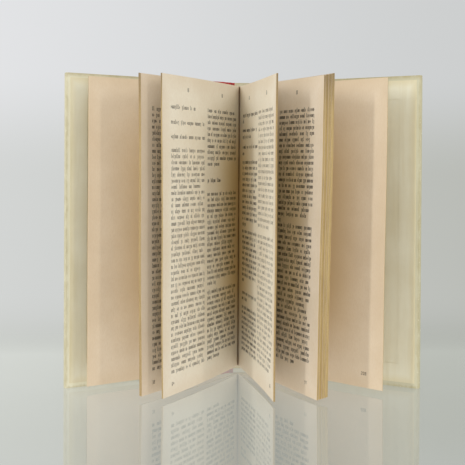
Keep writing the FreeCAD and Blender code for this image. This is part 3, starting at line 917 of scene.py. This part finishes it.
def bone_glue():
    """Brittle amber glue."""
    finish = Finish("bone_glue", 0.35, 0.5)
    lumps = finish.noise(finish.place(), 500.0, 4.0)
    finish.colour(finish.mix(finish.ramp(lumps, 0.3, 0.7), srgb(176, 140, 84), srgb(140, 104, 56)))
    finish.bump(lumps, 0.5, 0.1 * MM)
    return finish.material


# The studio: where the floor starts to rise, its rise's radius, how far it goes, and the strength
# of its even glow, of the painted light with which the floor itself glows, of the room's air and
# of the two lamps.
FLOOR_FAR = 0.14
SWEEP_RADIUS = 0.45
FLOOR_REACH = 3.0
TABLE_BOUNCE = 1.03
TABLE_GLOW = 0.8
AIR_STRENGTH = 0.86
RIGHT_LAMP_POWER = 2.0
LEFT_LAMP_POWER = 3.8


def studio_surface():
    """Glossy floor that glows with painted light, darker towards the right, and a plain wall that
    shades off to the right and downwards.

    Seen directly or mirrored, the floor has its shader and the wall its own light. For
    all other light both give an even glow. From behind, the wall is clear.
    """
    finish = Finish("studio_floor", 0.004, 0.5)
    finish.shader.inputs["IOR"].default_value = 1.75
    along, back, up = finish.parts(finish.place())
    side = finish.ramp(along, -0.42, 0.40)
    lower = finish.mix(side, srgb(215, 217, 216), srgb(184, 186, 180))
    upper = finish.mix(side, srgb(229, 230, 232), srgb(204, 206, 206))
    wall = finish.mix(finish.ramp(up, 0.13, 0.26), lower, upper)
    # Painted light and shade: the floor's colour and its own glow are both darker towards the
    # right, and the glow keeps it bright even in the book's shadow.
    near_side = finish.ramp(along, -0.25, 0.2)
    finish.colour(finish.mix(near_side, srgb(97, 99, 95), srgb(92, 94, 89)))
    floor_glow_colour = finish.mix(near_side, srgb(168, 171, 165), srgb(141, 144, 138))
    finish.feed(floor_glow_colour, finish.shader.inputs["Emission Color"])
    finish.shader.inputs["Emission Strength"].default_value = TABLE_GLOW
    glow = finish.node("ShaderNodeEmission")
    finish.feed(wall, glow.inputs["Color"])
    bounce = finish.node("ShaderNodeEmission")
    bounce.inputs["Strength"].default_value = TABLE_BOUNCE
    clear = finish.node("ShaderNodeBsdfTransparent")
    paths = finish.node("ShaderNodeLightPath").outputs
    seen = finish.math("MAXIMUM", paths["Is Camera Ray"], paths["Is Glossy Ray"])
    behind = finish.ramp(back, FLOOR_FAR - 0.02, FLOOR_FAR + 0.16)
    from_behind = finish.node("ShaderNodeNewGeometry").outputs["Backfacing"]
    shown = finish.blend(behind, finish.shader.outputs[0], glow.outputs[0])
    lit = finish.blend(seen, bounce.outputs[0], shown)
    output = finish.tree.nodes["Material Output"]
    finish.feed(finish.blend(from_behind, lit, clear.outputs[0]), output.inputs["Surface"])
    return finish.material


def make_studio():
    """Floor that sweeps up into a backdrop: a profile carried along X.

    The profile is the floor's line, a quarter circle behind it and the wall's line. The
    floor's line is in short flat lengths, so that its shading is level up to the rise.
    """
    turn = np.linspace(0, math.pi / 2, 33)
    bow = SWEEP_RADIUS * np.stack([np.sin(turn), 1 - np.cos(turn)], -1) + (FLOOR_FAR, 0)
    flat = np.stack([np.linspace(-FLOOR_REACH, FLOOR_FAR - 0.01, 9), np.zeros(9)], -1)
    profile = np.concatenate([flat, bow, [[FLOOR_FAR + SWEEP_RADIUS, FLOOR_REACH]]])
    across = np.linspace(-FLOOR_REACH, FLOOR_REACH, 5)
    points = np.empty((len(across), len(profile), 3))
    points[..., 0] = across[:, None]
    points[..., 1:] = profile[None]
    quads = grid_faces(len(across), len(profile))
    smooth = np.ones(len(quads), bool)
    floor = new_mesh("studio_floor", points.reshape(-1, 3), quads, None, smooth)
    floor.data.materials.append(studio_surface())


AIM = Vector((SPINE_X, 0.0, 0.1))
LAMP_DISTANCE = 1.3
LAMP_RISE = math.radians(22)
LAMP_WIDTH, LAMP_HEIGHT = 0.06, 0.4


def add_tall_lamp(name, azimuth, power, tint):
    """Area light aimed at the book: azimuth from the front towards the right, in degrees."""
    data = bpy.data.lights.new(name, "AREA")
    data.shape = "RECTANGLE"
    data.size = LAMP_WIDTH
    data.size_y = LAMP_HEIGHT
    data.energy = power
    data.color = tint
    lamp = bpy.data.objects.new(name, data)
    side, level = math.radians(azimuth), math.cos(LAMP_RISE)
    out = Vector((math.sin(side) * level, -math.cos(side) * level, math.sin(LAMP_RISE)))
    lamp.location = AIM + out * LAMP_DISTANCE
    lamp.rotation_mode = "QUATERNION"
    lamp.rotation_quaternion = (-out).to_track_quat("-Z", "Y")
    lamp.visible_glossy = False
    bpy.context.scene.collection.objects.link(lamp)


def light_studio():
    """Soft white room light and a tall lamp each side of the front."""
    world = bpy.data.worlds.new("studio_air")
    world.use_nodes = True
    air = world.node_tree.nodes["Background"]
    air.inputs["Color"].default_value = (1.0, 1.0, 1.0, 1.0)
    air.inputs["Strength"].default_value = AIR_STRENGTH
    bpy.context.scene.world = world
    add_tall_lamp("right_lamp", 32, RIGHT_LAMP_POWER, (1.0, 0.98, 0.95))
    add_tall_lamp("left_lamp", -44, LEFT_LAMP_POWER, (1.0, 0.99, 0.97))


CAMERA_PLACE = (-0.0522, -0.7354, 0.1417)
CAMERA_YAW, CAMERA_PITCH, CAMERA_ROLL = 4.68, -0.86, 0.34
CAMERA_LENS, CAMERA_SENSOR = 86.29, 36.0
CAMERA_SHIFT = (-0.0473, -0.0956)


def add_camera():
    """Camera a little left of the book, almost level, slightly rolled and shifted."""
    data = bpy.data.cameras.new("studio_camera")
    data.sensor_width = CAMERA_SENSOR
    data.lens = CAMERA_LENS
    data.shift_x, data.shift_y = CAMERA_SHIFT
    camera = bpy.data.objects.new("studio_camera", data)
    yaw, pitch = math.radians(CAMERA_YAW), math.radians(CAMERA_PITCH)
    level = math.cos(pitch)
    ahead = Vector((math.sin(yaw) * level, math.cos(yaw) * level, math.sin(pitch)))
    roll = Quaternion((0, 0, 1), math.radians(CAMERA_ROLL))
    camera.location = CAMERA_PLACE
    camera.rotation_mode = "QUATERNION"
    camera.rotation_quaternion = ahead.to_track_quat("-Z", "Y") @ roll
    bpy.context.scene.collection.objects.link(camera)
    bpy.context.scene.camera = camera


def dress_node(name, material):
    """Give a carried-over piece its finish."""
    node = frame["nodes"][name]
    node.data.materials.clear()
    node.data.materials.append(material)


def dress_case():
    """Finish the boards, their covering and endpapers, and the spine."""
    board = pulp_board()
    for cover in SIDES:
        red_field = RED_ON_FRONT if cover == "front" else None
        paper = covering_paper(f"{cover}_covering_paper", cover, *COVER_TONES_SHADED_BACK[cover], red_field)
        dress_node(f"{cover}_covering", paper)
        dress_node(f"{cover}_board", board)
        endpaper = pasted_paper(f"{cover}_endpaper", cover)
        dress_node(f"{cover}_pastedown", endpaper)
        strip = make_joint_covering(cover)
        strip.data.materials.append(paper)
        flap = make_joint_endpaper(cover)
        flap.data.materials.append(endpaper)
        for piece, slot in ((strip, "covering"), (flap, "endpaper")):
            turn_outwards(piece)
            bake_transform(piece)
    spine = covering_paper("spine_covering_paper", None, *COVER_TONES_SHADED_BACK["front"], RED_ON_SPINE)
    dress_node("spine_covering", spine)
    dress_node("spine_card", board)
    dress_node("spine_lining", spine_lining_paper())


LEAF_SEED, PRINT_SEED = 40, 80


def dress_block():
    """Make the leaves and their print, all riding with the spine."""
    papers = {name: page_paper(name, *tones) for name, tones in PAPERS.items()}
    edges = {name: cut_edge(name, *tones) for name, tones in EDGES.items()}
    ink = printing_ink()
    for number, (name, group) in enumerate(LEAF_GROUPS.items()):
        random = np.random.default_rng(LEAF_SEED + number)
        piece = make_leaves(f"{name}_leaves", group, random)
        piece.data.materials.append(papers[PAPER_OF_GROUP[name]])
        # Thin groups get the cut edge that is painted darker, as painted shade.
        edge = "painted_shade_edge" if name in PAINTED_SHADE_EDGE_GROUPS else "trimmed_edge"
        piece.data.materials.append(edges[edge])
        turn_outwards(piece)
        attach(piece, "leaves")
        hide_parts("text_block")
    for number, (name, page) in enumerate(PRINTED_PAGES.items()):
        random = np.random.default_rng(PRINT_SEED + number)
        piece = make_print(name, page, random)
        piece.data.materials.append(ink)
        turn_outwards(piece)
        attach(piece, "leaves")
    glue = make_spine_glue()
    glue.data.materials.append(bone_glue())
    turn_outwards(glue)
    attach(glue, "leaves")


prepare_groups()
dress_case()
dress_block()
make_studio()
light_studio()
add_camera()
bpy.context.scene.view_settings.view_transform = "Standard"
